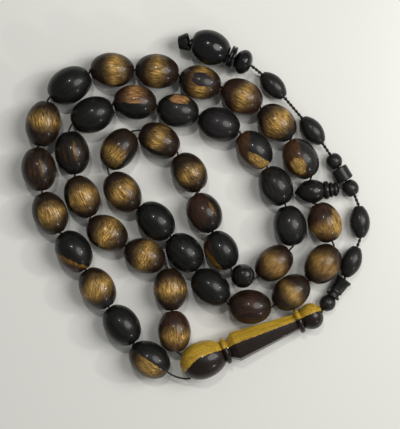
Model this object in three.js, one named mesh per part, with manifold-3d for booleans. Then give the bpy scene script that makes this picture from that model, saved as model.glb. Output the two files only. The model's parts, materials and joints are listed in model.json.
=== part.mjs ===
// A misbaha: a string of 41 turned wooden beads in three runs, parted by two cross-drilled
// separators and closed by a two-tone leader bead, with a tail of small turned pieces.
// It lies on a flat surface. Millimetres, +Z up, origin at the bottom centre of its box.

import * as THREE from 'three';
import * as BufferGeometryUtils from 'three/addons/utils/BufferGeometryUtils.js';
import Module from 'manifold-3d';

// ---- Loop beads: their length and diameter stand with their places below ----
const BEAD = { face: 3.2, bore: 1.8, steps: 7 };

// ---- Separators: egg, two rings and a knob on one turned axis, measured from the egg's tip ----
const EGG = { centre: 5.5, end: 9.0, diameter: 7.5, fullness: 0.8 };
const EGG_RING = { start: 9.2, end: 10.7, diameter: 5.8 };
const SMALL_RING = { start: 11.0, end: 11.9, diameter: 4.9 };
const KNOB = { start: 12.1, centre: 12.8, end: 14.0, diameter: 4.6, face: 1.6 };
const SEPARATOR_NECK = 3.9;
const SEPARATOR_BORE = { at: 5.2, diameter: 1.8 };

// ---- Leader bead, measured along its axis from the tip of its foot ----
const FOOT = { centre: 7.2, end: 14.0, diameter: 11.8, ringSide: 8.2 };
const FIRST_RING = { start: 14.1, end: 15.7, diameter: 8.6 };
const NECK = { end: 16.7, diameter: 6.0 };
const FLARE = { at: 16.0, radius: 3.3 };
const RIDGE = { at: 18.3, radius: 5.05 };
const SHAFT_END = { at: 38.8, radius: 2.8 };
const SECOND_RING = { start: 38.9, end: 40.5, diameter: 7.9 };
const END_BALL = { start: 40.9, centre: 44.1, end: 47.3, diameter: 8.3, ringSide: 4.4, face: 3.4 };
const SHAFT_SIDES = 6;
const SHAFT_EDGE_TURN = 14;
const LEADER_BORE = 2.0;
const CROSS_BORE = { at: 1.7, diameter: 1.5 };

// ---- Tail pieces, each strung on its own axis ----
const TAIL_BORE = 1.6;
const OLIVE = { length: 10.0, diameter: 6.4, face: 2.3, fullness: 0.75 };
const FIRST_BALL = { length: 5.0, diameter: 5.3, face: 2.4 };
const BARREL = { length: 4.5, diameter: 5.4, chamfer: 0.25 };
const SECOND_BALL = { length: 4.6, diameter: 5.1, face: 2.4 };
const VASE = { length: 11.6, ball: 5.2, flange: 4.7, neck: 3.5, cup: 4.2, rim: 5.3 };
const TAIL_END_BALL = { length: 5.4, diameter: 7.9, face: 2.8 };
const TAIL_END_RING = { length: 1.8, diameter: 7.2, groove: 6.0 };
const TAIL_OVAL = { length: 12.2, diameter: 10.8, face: 4.8 };
const CAP = { length: 3.0, inner: 5.8, outer: 4.1, edge: 0.2, dish: 0.9, seat: 2.8, seatDepth: 2.5 };
const KNOT = { length: 1.6, diameter: 2.1 };
const TOUCH_GAP = 0.3;

// ---- Cords: the loop's single strand and the tail's two twisted strands ----
const LOOP_CORD = 0.6;
const TAIL_CORD = 1.0;
const CORD_SIDES = 8;
const CORD_JOIN_GAP = 0.9;

const BEAD_SIDES = 12;
const TURNED_SIDES = 16;

// ---- Where each loop bead lies, in the order of the string from the leader's near hole:
// x and y of its centre, the turn of its bore from +X in degrees, its length and diameter.
// The beads are turned by hand, so no two are quite the same size ----
const BEAD_PLACES = [
  [-14.8, -48.3, 145, 13.4, 10.8], [-23.5, -37.5, 127, 13.3, 10.8], [-31.1, -26.0, 122, 13.4, 10.8],
  [-38.5, -14.5, 122, 13.4, 10.8], [-45.9, -2.6, 113, 13.4, 10.8], [-49.4, 11.1, 99, 13.4, 10.8],
  [-48.0, 25.3, 81, 14.0, 11.0], [-39.8, 37.3, 30, 14.0, 11.1], [-26.5, 42.1, -5, 13.4, 10.8],
  [-12.5, 41.7, -7, 13.4, 10.8], [0.9, 38.2, -13, 13.0, 10.5], [13.9, 33.8, -27, 13.3, 10.8],
  [24.8, 25.6, -40, 13.0, 10.8], [32.3, 14.4, -57, 13.0, 10.6],
  [39.8, -5.5, -68, 12.5, 10.4], [39.2, -18.4, -125, 12.9, 10.8], [29.3, -27.3, -142, 12.6, 10.4],
  [16.4, -31.8, 177, 13.2, 10.8], [4.2, -25.7, 139, 13.0, 10.6], [-3.9, -14.9, 132, 13.0, 10.7],
  [-13.0, -5.0, 135, 13.1, 10.8], [-23.3, 4.0, 128, 13.4, 10.8], [-24.4, 17.4, 56, 13.4, 10.8],
  [-11.8, 20.1, -30, 13.2, 10.6], [-2.5, 10.1, -56, 12.8, 10.7], [2.2, -2.5, -61, 12.6, 10.8],
  [7.5, -14.2, -60, 12.4, 10.3],
  [24.0, -18.2, 40, 12.6, 10.2], [29.0, -6.5, 102, 12.4, 10.3], [24.6, 5.9, 117, 12.5, 10.3],
  [17.8, 17.2, 131, 12.7, 10.3], [6.8, 25.1, 163, 13.1, 10.6], [-6.0, 29.4, 170, 12.9, 10.4],
  [-19.4, 32.0, 175, 13.2, 10.8], [-32.7, 28.1, -157, 13.6, 11.1], [-39.0, 16.2, -80, 13.4, 10.8],
  [-35.9, 2.5, -66, 13.4, 10.8], [-28.1, -8.8, -30, 13.2, 10.8], [-16.4, -15.9, -22, 13.0, 10.7],
  [-8.4, -26.4, -85, 13.0, 10.5], [-7.1, -39.5, -85, 12.7, 10.3],
];
const FIRST_RUN = 14;
const SECOND_RUN = 13;

// ---- Where the other pieces lie: a point, the turn from +X and the rise, in degrees ----
const LEADER_PLACE = { at: [-4.98, -51.02, 6.24], turn: 21.7, rise: -2.7 };
const SEPARATOR_PLACES = [
  { at: [35.65, 4.2, 3.8], turn: 5, rise: 0 },
  { at: [14.2, -22.2, 5.4], turn: 72, rise: 84 },
];
const VASE_PLACE = { at: [42.9, -28.0, 2.75], turn: 54.5, rise: 0 };
const OLIVE_PLACES = [
  { at: [48.3, -17.8, 3.15], turn: 68, rise: 0 },
  { at: [51.0, -5.3, 3.15], turn: 93, rise: 0 },
  { at: [36.1, 23.3, 3.15], turn: 129, rise: 0 },
  { at: [23.8, 37.4, 3.15], turn: 134, rise: 0 },
];
const BARREL_PLACE = { at: [45.5, 9.6, 2.75], turn: 121, rise: 0 };
const OVAL_PLACE = { at: [4.05, 49.0, 5.7], turn: 157, rise: 4 };
const CAP_PLACE = { at: [-2.7, 50.85, 5.4], turn: 186, rise: -10 };

// ---- The bare stretches of cord between pieces that don't touch, chosen by hand ----
const CORD_TO_FIRST_BEAD = [[-8.1, -53.0, 5.2], [-6.2, -53.9, 4.6], [-4.0, -54.3, 5.2]];

const DARK = { color: 0x1d1815, roughness: 0.35, metalness: 0 };
const GOLDEN = { color: 0x8a6a34, roughness: 0.4, metalness: 0 };
const BLACK = { color: 0x121211, roughness: 0.3, metalness: 0 };
const SAPWOOD = { color: 0xb08a2c, roughness: 0.4, metalness: 0 };
const CORD_BLACK = { color: 0x0c0c0c, roughness: 0.8, metalness: 0 };
const DARK_BEADS = [2, 4, 6, 8, 19, 20, 21, 26, 27, 29, 30, 32, 33, 35, 36];

const wasm = await Module();
wasm.setup();

const misbaha = new THREE.Group();

// A body of revolution about +X. Each profile point is [distance along the axis, radius];
// a profile that closes on itself leaves a bore.
function turned(profile, sides) {
  const points = profile.map(([along, radius]) => new THREE.Vector2(radius, along));
  return new THREE.LatheGeometry(points, sides).rotateZ(-Math.PI / 2);
}

// Points of a rounded outline between two places along the axis. The outline swells to the
// radius at the centre; a fullness of 0.5 is an ellipse, and more makes the ends pointed.
function swell(centre, radius, halfLength, from, to, steps, fullness = 0.5) {
  const start = Math.asin((from - centre) / halfLength);
  const end = Math.asin((to - centre) / halfLength);
  return Array.from({ length: steps + 1 }, (_, i) => {
    const angle = start + (end - start) * i / steps;
    return [centre + halfLength * Math.sin(angle), radius * Math.cos(angle) ** (2 * fullness)];
  });
}

// The half length of the full outline whose ends are cut off flat at the given face diameter.
function fullHalfLength(length, diameter, face, fullness = 0.5) {
  return length / 2 / Math.sqrt(1 - (face / diameter) ** (1 / fullness));
}

function bored(outline, bore) {
  const first = outline[0][0];
  const last = outline[outline.length - 1][0];
  return [[first, bore / 2], ...outline, [last, bore / 2], [first, bore / 2]];
}

function oval({ length, diameter, face, fullness = 0.5 }, bore, steps, sides) {
  const half = fullHalfLength(length, diameter, face, fullness);
  const outline = swell(0, diameter / 2, half, -length / 2, length / 2, steps, fullness);
  return turned(bored(outline, bore), sides);
}

function solid(geometry) {
  const bare = geometry.clone();
  bare.deleteAttribute('normal');
  bare.deleteAttribute('uv');
  const merged = BufferGeometryUtils.mergeVertices(bare, 1e-4);
  return new wasm.Manifold(new wasm.Mesh({
    numProp: 3,
    vertProperties: new Float32Array(merged.attributes.position.array),
    triVerts: new Uint32Array(merged.index.array),
  }));
}

function geometryOf(manifold) {
  const mesh = manifold.getMesh();
  const geometry = new THREE.BufferGeometry();
  geometry.setAttribute('position', new THREE.BufferAttribute(mesh.vertProperties, 3));
  geometry.setIndex(new THREE.BufferAttribute(mesh.triVerts, 1));
  geometry.computeVertexNormals();
  return geometry;
}

// A drill along +X from one place to another, for cutting bores.
function drill(diameter, from, to) {
  const cylinder = new THREE.CylinderGeometry(diameter / 2, diameter / 2, to - from, BEAD_SIDES);
  return cylinder.rotateZ(-Math.PI / 2).translate((from + to) / 2, 0, 0);
}

// A drill along +Y through the axis at the given place.
function crossDrill(diameter, at, reach) {
  const cylinder = new THREE.CylinderGeometry(diameter / 2, diameter / 2, 2 * reach, BEAD_SIDES);
  return cylinder.translate(at, 0, 0);
}

function add(name, geometry, finish, { at, turn, rise }) {
  const mesh = new THREE.Mesh(geometry, new THREE.MeshStandardMaterial(finish));
  mesh.name = name;
  mesh.position.set(...at);
  mesh.rotation.order = 'ZYX';
  mesh.rotation.z = THREE.MathUtils.degToRad(turn);
  mesh.rotation.y = -THREE.MathUtils.degToRad(rise);
  misbaha.add(mesh);
}

// The point a given distance along a place's own axis.
function along({ at, turn, rise }, distance) {
  const direction = new THREE.Vector3(1, 0, 0);
  direction.applyAxisAngle(new THREE.Vector3(0, 1, 0), -THREE.MathUtils.degToRad(rise));
  direction.applyAxisAngle(new THREE.Vector3(0, 0, 1), THREE.MathUtils.degToRad(turn));
  return new THREE.Vector3(...at).addScaledVector(direction, distance);
}

function placeAlong(place, distance) {
  return { ...place, at: along(place, distance).toArray() };
}

// ---- Loop beads ----
const beadPlaces = BEAD_PLACES.map(([x, y, turn, length, diameter]) => (
  { at: [x, y, diameter / 2], turn, rise: 0, length, diameter }
));

beadPlaces.forEach((place, i) => {
  const number = i + 1;
  const size = { length: place.length, diameter: place.diameter, face: BEAD.face };
  const name = `bead_${String(number).padStart(2, '0')}`;
  const finish = DARK_BEADS.includes(number) ? DARK : GOLDEN;
  add(name, oval(size, BEAD.bore, BEAD.steps, BEAD_SIDES), finish, place);
});

// ---- Separators, with the cross bore at the local origin ----
function ringOutline({ start, end, diameter }, rootDiameter) {
  const round = (end - start) / 4;
  return [
    [start, rootDiameter / 2],
    [start + round / 2, diameter / 2 - round],
    [start + round, diameter / 2],
    [end - round, diameter / 2],
    [end - round / 2, diameter / 2 - round],
    [end, rootDiameter / 2],
  ];
}

function separator() {
  const egg = swell(EGG.centre, EGG.diameter / 2, EGG.centre, 0.05, EGG.end, 9, EGG.fullness);
  const knobReach = (KNOB.end - KNOB.centre) / Math.sqrt(1 - (KNOB.face / KNOB.diameter) ** 2);
  const knob = swell(KNOB.centre, KNOB.diameter / 2, knobReach, KNOB.start, KNOB.end, 4);
  const outline = [
    [0, 0],
    ...egg,
    ...ringOutline(EGG_RING, SEPARATOR_NECK + 0.6),
    ...ringOutline(SMALL_RING, SEPARATOR_NECK),
    ...knob,
    [KNOB.end, 0],
  ];
  const bore = crossDrill(SEPARATOR_BORE.diameter, SEPARATOR_BORE.at, EGG.diameter);
  const body = solid(turned(outline, TURNED_SIDES)).subtract(solid(bore));
  return geometryOf(body).translate(-SEPARATOR_BORE.at, 0, 0);
}

SEPARATOR_PLACES.forEach((place, i) => add(`separator_${i + 1}`, separator(), BLACK, place));

// ---- Leader bead: foot and first ring, six-sided shaft, second ring and end ball ----
function leader() {
  const footRadius = FOOT.diameter / 2;
  const foot = turned([
    [0, 0],
    ...swell(FOOT.centre, footRadius, FOOT.centre, 0.1, FOOT.centre, 6).slice(0, -1),
    ...swell(FOOT.centre, footRadius, FOOT.ringSide, FOOT.centre, FOOT.end, 4),
    ...ringOutline(FIRST_RING, NECK.diameter),
    [NECK.end, NECK.diameter / 2],
    [NECK.end, 0],
  ], TURNED_SIDES);
  const shaft = turned([
    [FLARE.at, 0],
    [FLARE.at, FLARE.radius],
    [RIDGE.at, RIDGE.radius],
    [SHAFT_END.at, SHAFT_END.radius],
    [SHAFT_END.at, 0],
  ], SHAFT_SIDES).rotateX(THREE.MathUtils.degToRad(SHAFT_EDGE_TURN - 30));
  const ballReach = (END_BALL.end - END_BALL.centre)
    / Math.sqrt(1 - (END_BALL.face / END_BALL.diameter) ** 2);
  const ballRadius = END_BALL.diameter / 2;
  const end = turned([
    [SHAFT_END.at - 0.5, 0],
    [SHAFT_END.at - 0.5, 2.3],
    ...ringOutline(SECOND_RING, 5.2),
    ...swell(END_BALL.centre, ballRadius, END_BALL.ringSide, END_BALL.start, END_BALL.centre, 4),
    ...swell(END_BALL.centre, ballRadius, ballReach, END_BALL.centre, END_BALL.end, 4).slice(1),
    [END_BALL.end, 0],
  ], TURNED_SIDES);
  const bore = drill(LEADER_BORE, CROSS_BORE.at, END_BALL.end + 1);
  const cross = crossDrill(CROSS_BORE.diameter, CROSS_BORE.at, FOOT.diameter);
  return geometryOf(
    solid(foot).add(solid(shaft)).add(solid(end)).subtract(solid(bore)).subtract(solid(cross)),
  );
}

add('leader_bead', leader(), SAPWOOD, LEADER_PLACE);

// ---- Tail pieces ----
function vase() {
  const half = VASE.length / 2;
  const outline = [
    ...swell(-half + 2.4, VASE.ball / 2, 2.6, -half, -half + 4.7, 6),
    [-half + 4.9, VASE.flange / 2],
    [-half + 5.6, VASE.flange / 2],
    [-half + 5.8, VASE.neck / 2],
    [-half + 6.5, VASE.neck / 2],
    [-half + 6.9, VASE.cup / 2],
    [half - 0.9, VASE.rim / 2 - 0.25],
    [half - 0.5, VASE.rim / 2],
    [half, VASE.rim / 2],
  ];
  return turned(bored(outline, TAIL_BORE), TURNED_SIDES);
}

function barrel() {
  const half = BARREL.length / 2;
  const radius = BARREL.diameter / 2;
  const outline = [
    [-half, radius - BARREL.chamfer],
    [-half + BARREL.chamfer, radius],
    [half - BARREL.chamfer, radius],
    [half, radius - BARREL.chamfer],
  ];
  return turned(bored(outline, TAIL_BORE), TURNED_SIDES);
}

function doubleRing() {
  const half = TAIL_END_RING.length / 2;
  const radius = TAIL_END_RING.diameter / 2;
  const outline = [
    [-half, radius - 0.3],
    [-half * 0.6, radius],
    [0, TAIL_END_RING.groove / 2],
    [half * 0.6, radius],
    [half, radius - 0.3],
  ];
  return turned(bored(outline, TAIL_BORE), TURNED_SIDES);
}

// A short cone cut off flat. Its wide end is dished to clear the end oval, and a blind seat in
// the dish holds the end knot.
function cap() {
  return turned([
    [CAP.seatDepth, 0],
    [CAP.seatDepth, CAP.seat / 2],
    [CAP.dish, CAP.seat / 2],
    [0, CAP.inner / 2 - CAP.edge],
    [CAP.edge, CAP.inner / 2],
    [CAP.length - CAP.edge, CAP.outer / 2 + CAP.edge],
    [CAP.length, CAP.outer / 2],
    [CAP.length, 0],
  ], TURNED_SIDES);
}

function knot() {
  const half = KNOT.length / 2;
  return turned([
    [-half, 0],
    ...swell(0, KNOT.diameter / 2, half, -half * 0.9, half * 0.9, 4),
    [half, 0],
  ], CORD_SIDES);
}

add('tail_vase', vase(), BLACK, VASE_PLACE);
OLIVE_PLACES.forEach((place, i) => {
  add(`tail_olive_${i + 1}`, oval(OLIVE, TAIL_BORE, BEAD.steps, BEAD_SIDES), BLACK, place);
});

const firstBallPlace = placeAlong(
  BARREL_PLACE, -(BARREL.length + FIRST_BALL.length) / 2 - TOUCH_GAP,
);
const secondBallPlace = placeAlong(
  BARREL_PLACE, (BARREL.length + SECOND_BALL.length) / 2 + TOUCH_GAP,
);
add('tail_ball_1', oval(FIRST_BALL, TAIL_BORE, BEAD.steps, BEAD_SIDES), BLACK, firstBallPlace);
add('tail_barrel', barrel(), BLACK, BARREL_PLACE);
add('tail_ball_2', oval(SECOND_BALL, TAIL_BORE, BEAD.steps, BEAD_SIDES), BLACK, secondBallPlace);

const endRingPlace = placeAlong(
  OVAL_PLACE, -(TAIL_OVAL.length + TAIL_END_RING.length) / 2 - TOUCH_GAP,
);
const endBallPlace = placeAlong(
  endRingPlace, -(TAIL_END_RING.length + TAIL_END_BALL.length) / 2 - TOUCH_GAP,
);
add('end_ball', oval(TAIL_END_BALL, TAIL_BORE, BEAD.steps, TURNED_SIDES), BLACK, endBallPlace);
add('end_ring', doubleRing(), BLACK, endRingPlace);
add('end_oval', oval(TAIL_OVAL, TAIL_BORE, BEAD.steps, TURNED_SIDES), BLACK, OVAL_PLACE);
add('end_cap', cap(), BLACK, CAP_PLACE);
add('end_knot', knot(), CORD_BLACK, placeAlong(CAP_PLACE, CAP.seatDepth - 0.25 - KNOT.length / 2));

// ---- Cords ----
// A polyline with a ring of the tube's section at each of its points.
class Route extends THREE.Curve {
  constructor(points) {
    super();
    this.points = points;
  }

  getPoint(share, target = new THREE.Vector3()) {
    const place = share * (this.points.length - 1);
    const i = Math.min(Math.floor(place), this.points.length - 2);
    return target.lerpVectors(this.points[i], this.points[i + 1], place - i);
  }

  getPointAt(share, target) {
    return this.getPoint(share, target);
  }

  getTangentAt(share, target) {
    return this.getTangent(share, target);
  }
}

function cord(points, diameter) {
  const section = new THREE.Shape();
  for (let i = 0; i < CORD_SIDES; i += 1) {
    const angle = 2 * Math.PI * i / CORD_SIDES;
    const x = Math.cos(angle) * diameter / 2;
    const y = Math.sin(angle) * diameter / 2;
    if (i === 0) section.moveTo(x, y);
    else section.lineTo(x, y);
  }
  section.closePath();
  return new THREE.ExtrudeGeometry(section, {
    steps: points.length - 1,
    extrudePath: new Route(points),
  });
}

const AT_ORIGIN = { at: [0, 0, 0], turn: 0, rise: 0 };

// The ends of a piece's bore, in the order the cord runs.
function throughBore(place, length) {
  return [along(place, -length / 2), along(place, length / 2)];
}

// The cord runs from the leader's near hole round the loop to its far hole.
function loopRoute() {
  const crossing = { ...placeAlong(LEADER_PLACE, CROSS_BORE.at), rise: 0 };
  const across = { ...crossing, turn: LEADER_PLACE.turn + 90 };
  const runs = beadPlaces.map((place) => throughBore(place, place.length));
  const separatorRuns = SEPARATOR_PLACES.map(({ at, turn }) => (
    throughBore({ at, turn: turn - 90, rise: 0 }, EGG.diameter - 0.2)
  ));
  return [
    along(across, -CORD_JOIN_GAP),
    along(across, -4.0),
    ...CORD_TO_FIRST_BEAD.map((point) => new THREE.Vector3(...point)).reverse(),
    ...runs.slice(0, FIRST_RUN).flat(),
    ...separatorRuns[0],
    ...runs.slice(FIRST_RUN, FIRST_RUN + SECOND_RUN).flat(),
    ...separatorRuns[1],
    ...runs.slice(FIRST_RUN + SECOND_RUN).flat(),
    along(across, 4.0),
    along(across, CORD_JOIN_GAP),
  ];
}

// The two ends leave the leader together and run through the tail to the knot.
function tailRoute() {
  return [
    along(LEADER_PLACE, CROSS_BORE.at + CORD_JOIN_GAP),
    along(LEADER_PLACE, END_BALL.end),
    ...throughBore(VASE_PLACE, VASE.length),
    ...throughBore(OLIVE_PLACES[0], OLIVE.length),
    ...throughBore(OLIVE_PLACES[1], OLIVE.length),
    along(firstBallPlace, -FIRST_BALL.length / 2),
    along(secondBallPlace, SECOND_BALL.length / 2),
    ...throughBore(OLIVE_PLACES[2], OLIVE.length),
    ...throughBore(OLIVE_PLACES[3], OLIVE.length),
    along(endBallPlace, -TAIL_END_BALL.length / 2),
    along(OVAL_PLACE, TAIL_OVAL.length / 2),
    along(CAP_PLACE, CAP.seatDepth - 0.25 - KNOT.length - TOUCH_GAP),
  ];
}

add('loop_cord', cord(loopRoute(), LOOP_CORD), CORD_BLACK, AT_ORIGIN);
add('tail_cord', cord(tailRoute(), TAIL_CORD), CORD_BLACK, AT_ORIGIN);

export default misbaha;
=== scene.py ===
"""A misbaha laid out on a pale table: turned wooden beads, two separators, a leader and a tail."""

import json
import logging
import math
from dataclasses import dataclass
from enum import Enum
from typing import Sequence

import bmesh
import bpy
from mathutils import Euler, Matrix, Vector

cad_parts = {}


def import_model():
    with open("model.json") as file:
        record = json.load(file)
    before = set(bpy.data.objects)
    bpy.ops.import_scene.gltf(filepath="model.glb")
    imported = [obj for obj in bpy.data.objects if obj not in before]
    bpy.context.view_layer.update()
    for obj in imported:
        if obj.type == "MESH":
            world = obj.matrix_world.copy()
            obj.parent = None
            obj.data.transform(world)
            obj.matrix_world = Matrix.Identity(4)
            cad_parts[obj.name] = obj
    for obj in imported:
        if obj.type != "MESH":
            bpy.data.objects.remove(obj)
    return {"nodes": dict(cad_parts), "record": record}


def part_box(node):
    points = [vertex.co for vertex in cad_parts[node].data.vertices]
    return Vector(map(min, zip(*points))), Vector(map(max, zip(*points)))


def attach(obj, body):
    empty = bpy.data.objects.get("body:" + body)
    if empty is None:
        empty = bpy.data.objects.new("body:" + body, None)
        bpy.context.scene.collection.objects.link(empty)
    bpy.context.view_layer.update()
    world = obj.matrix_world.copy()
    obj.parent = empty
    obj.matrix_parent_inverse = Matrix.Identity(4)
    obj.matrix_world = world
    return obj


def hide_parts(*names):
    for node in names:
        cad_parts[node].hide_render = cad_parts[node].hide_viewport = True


LOG = logging.getLogger("misbaha")

MM = 0.001
ROOT_BODY = "strung_cord"

Colour = tuple[float, float, float]
Outline = list[tuple[float, float]]


# ---------------------------------------------------------------- shader expressions


class Signal:
    """A shader socket that takes part in Python expressions."""

    def __init__(self, graph: "Graph", socket: bpy.types.NodeSocket) -> None:
        """Hold the socket and the graph that it belongs to."""
        self.graph = graph
        self.socket = socket

    @property
    def is_vector(self) -> bool:
        """Tell whether the socket carries three numbers."""
        return self.socket.type in {"VECTOR", "RGBA"}

    def _join(self, operation: str, first: object, second: object) -> "Signal":
        """Add one node that works on two operands.

        Args:
            operation: the node's operation.
            first: the left operand, a signal, a number or three numbers.
            second: the right operand, of the same kinds.

        Returns:
            The node's result.
        """
        several = any(
            isinstance(side, (tuple, list)) or (isinstance(side, Signal) and side.is_vector)
            for side in (first, second)
        )
        if not several:
            return self.graph.node("ShaderNodeMath", {"operation": operation}, {0: first, 1: second})
        sides = {0: self.graph.spread(first), 1: self.graph.spread(second)}
        return self.graph.node("ShaderNodeVectorMath", {"operation": operation}, sides)

    def __add__(self, other: object) -> "Signal":
        """Add."""
        return self._join("ADD", self, other)

    def __radd__(self, other: object) -> "Signal":
        """Add, with the signal on the right."""
        return self._join("ADD", other, self)

    def __sub__(self, other: object) -> "Signal":
        """Subtract."""
        return self._join("SUBTRACT", self, other)

    def __rsub__(self, other: object) -> "Signal":
        """Subtract from a number."""
        return self._join("SUBTRACT", other, self)

    def __mul__(self, other: object) -> "Signal":
        """Multiply."""
        return self._join("MULTIPLY", self, other)

    def __rmul__(self, other: object) -> "Signal":
        """Multiply, with the signal on the right."""
        return self._join("MULTIPLY", other, self)

    def __abs__(self) -> "Signal":
        """Drop the sign."""
        return self.graph.node("ShaderNodeMath", {"operation": "ABSOLUTE"}, {0: self})

    def dot(self, direction: Sequence[float]) -> "Signal":
        """Project on a direction.

        Args:
            direction: three numbers.

        Returns:
            The length along the direction.
        """
        settings = {"operation": "DOT_PRODUCT"}
        return self.graph.node("ShaderNodeVectorMath", settings, {0: self, 1: tuple(direction)}, "Value")

    def step(self, start: float, end: float) -> "Signal":
        """Rise smoothly from 0 at start to 1 at end.

        Args:
            start: the value where the result leaves 0.
            end: the value where the result reaches 1.

        Returns:
            The smooth step.
        """
        settings = {"interpolation_type": "SMOOTHSTEP"}
        inputs = {"Value": self, "From Min": start, "From Max": end}
        return self.graph.node("ShaderNodeMapRange", settings, inputs)


class Graph:
    """One material and the nodes that make it."""

    def __init__(self, name: str) -> None:
        """Start an empty material of that name."""
        self.material = bpy.data.materials.new(name)
        self.material.use_nodes = True
        self.tree = self.material.node_tree
        self.tree.nodes.clear()

    def node(
        self,
        kind: str,
        settings: dict[str, object] | None = None,
        inputs: dict[str | int, object] | None = None,
        output: str | int = 0,
    ) -> Signal:
        """Add a node, set it up and link it.

        Args:
            kind: the node's type.
            settings: its properties; "stops" holds a ramp's places and colours.
            inputs: a value or a signal for each socket, by name or number.
            output: the socket to give back.

        Returns:
            The chosen output.
        """
        node = self.tree.nodes.new(kind)
        for key, value in (settings or {}).items():
            if key == "stops":
                self._set_stops(node.color_ramp, value)
            else:
                setattr(node, key, value)
        for key, value in (inputs or {}).items():
            socket = self._socket(node, key)
            if isinstance(value, Signal):
                self.tree.links.new(value.socket, socket)
            else:
                socket.default_value = value
        return Signal(self, node.outputs[output])

    @staticmethod
    def _socket(node: bpy.types.Node, key: str | int) -> bpy.types.NodeSocket:
        """Find an input by its number, its identifier or its name."""
        if isinstance(key, int):
            return node.inputs[key]
        found = [socket for socket in node.inputs if socket.identifier == key]
        return found[0] if found else node.inputs[key]

    @staticmethod
    def _set_stops(ramp: bpy.types.ColorRamp, stops: Sequence[tuple[float, Colour]]) -> None:
        """Give a colour ramp its stops."""
        while len(ramp.elements) < len(stops):
            ramp.elements.new(1.0)
        for element, (place, colour) in zip(ramp.elements, stops):
            element.position = place
            element.color = (*colour, 1.0)

    def spread(self, value: object) -> object:
        """Turn a plain number into three, for a vector node."""
        return (value, value, value) if isinstance(value, (int, float)) else value

    def place(self) -> Signal:
        """Give the point in the piece's own frame, in millimetres."""
        return self.node("ShaderNodeTexCoord", output="Object") * (1000.0, 1000.0, 1000.0)

    def noise(self, at: Signal, detail: float = 3.0, roughness: float = 0.5) -> Signal:
        """Add a noise of unit size.

        Args:
            at: the point, scaled so that one unit is one blotch.
            detail: how many octaves.
            roughness: how strong the finer octaves are.

        Returns:
            The noise, about 0.5 on average.
        """
        inputs = {"Vector": at, "Scale": 1.0, "Detail": detail, "Roughness": roughness}
        return self.node("ShaderNodeTexNoise", None, inputs, 0)

    def mix(self, first: object, second: object, share: object) -> Signal:
        """Blend two colours.

        Args:
            first: the colour where the share is 0.
            second: the colour where the share is 1.
            share: how much of the second.

        Returns:
            The blended colour.
        """
        inputs = {"Factor_Float": share, "A_Color": self._paint(first), "B_Color": self._paint(second)}
        return self.node("ShaderNodeMix", {"data_type": "RGBA"}, inputs, 2)

    @staticmethod
    def _paint(colour: object) -> object:
        """Give a plain colour its alpha."""
        return colour if isinstance(colour, Signal) else (*colour, 1.0)

    def bump(self, height: Signal, depth: float, strength: float = 1.0) -> Signal:
        """Turn a height into a normal.

        Args:
            height: the height, from 0 to 1.
            depth: what 1 stands for, in metres.
            strength: how much of it shows.

        Returns:
            The normal.
        """
        return self.node("ShaderNodeBump", None, {"Height": height, "Distance": depth, "Strength": strength})

    def surface(self, **inputs: object) -> bpy.types.Material:
        """Close the graph with one surface shader.

        Args:
            inputs: the shader's sockets, with underscores for the spaces in their names.

        Returns:
            The finished material.
        """
        sockets = {name.replace("_", " "): value for name, value in inputs.items()}
        shader = self.node("ShaderNodeBsdfPrincipled", None, sockets)
        self.node_out(shader)
        return self.material

    def node_out(self, shader: Signal) -> None:
        """Link the shader to the material's output."""
        out = self.tree.nodes.new("ShaderNodeOutputMaterial")
        self.tree.links.new(shader.socket, out.inputs["Surface"])


# ---------------------------------------------------------------- finishes


class Tone(Enum):
    """The colours that the wood takes."""

    GOLD = (0.350, 0.212, 0.058)
    OCHRE = (0.185, 0.098, 0.016)
    TAN = (0.235, 0.134, 0.038)
    COPPER = (0.330, 0.170, 0.062)
    BROWN = (0.062, 0.030, 0.012)
    RUSSET = (0.034, 0.0155, 0.0095)
    UMBER = (0.019, 0.0105, 0.0060)
    PLUM = (0.018, 0.014, 0.016)
    CHARCOAL = (0.016, 0.0155, 0.0145)
    BLACK = (0.0080, 0.0080, 0.0072)
    MUSTARD = (0.480, 0.300, 0.030)


@dataclass(frozen=True)
class Patch:
    """Heartwood or sapwood that one side of a bead is cut from."""

    bearing: float
    reach: float
    tone: Tone
    lift: float = 0.0
    edge: float = 0.03

    def direction(self, turn: float) -> Vector:
        """Give the patch's direction in the bead's own frame.

        Args:
            turn: the bead's turn on the table, in degrees.

        Returns:
            A unit vector.
        """
        around = math.radians(self.bearing - turn)
        up = math.radians(self.lift)
        return Vector((math.cos(up) * math.cos(around), math.cos(up) * math.sin(around), math.sin(up)))


@dataclass(frozen=True)
class Stripe:
    """A soft pale streak along the bore, seen from above."""

    side: float
    width: float
    tone: Tone = Tone.TAN
    strength: float = 0.8


@dataclass(frozen=True)
class BeadLook:
    """How one bead is coloured: a band between darker ends, with painted shade on its flanks, then patches
    and stripes over it.
    """

    middle: Tone
    ends: Tone = Tone.UMBER
    band_at: float = 0.0
    band: float = 3.4
    fibres: float = 0.8
    streaks: float = 0.35
    # side: how strongly painted shade darkens the flanks seen from above
    side: float = 2.6
    grain_turn: float = 0.0
    patches: tuple[Patch, ...] = ()
    stripes: tuple[Stripe, ...] = ()


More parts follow.
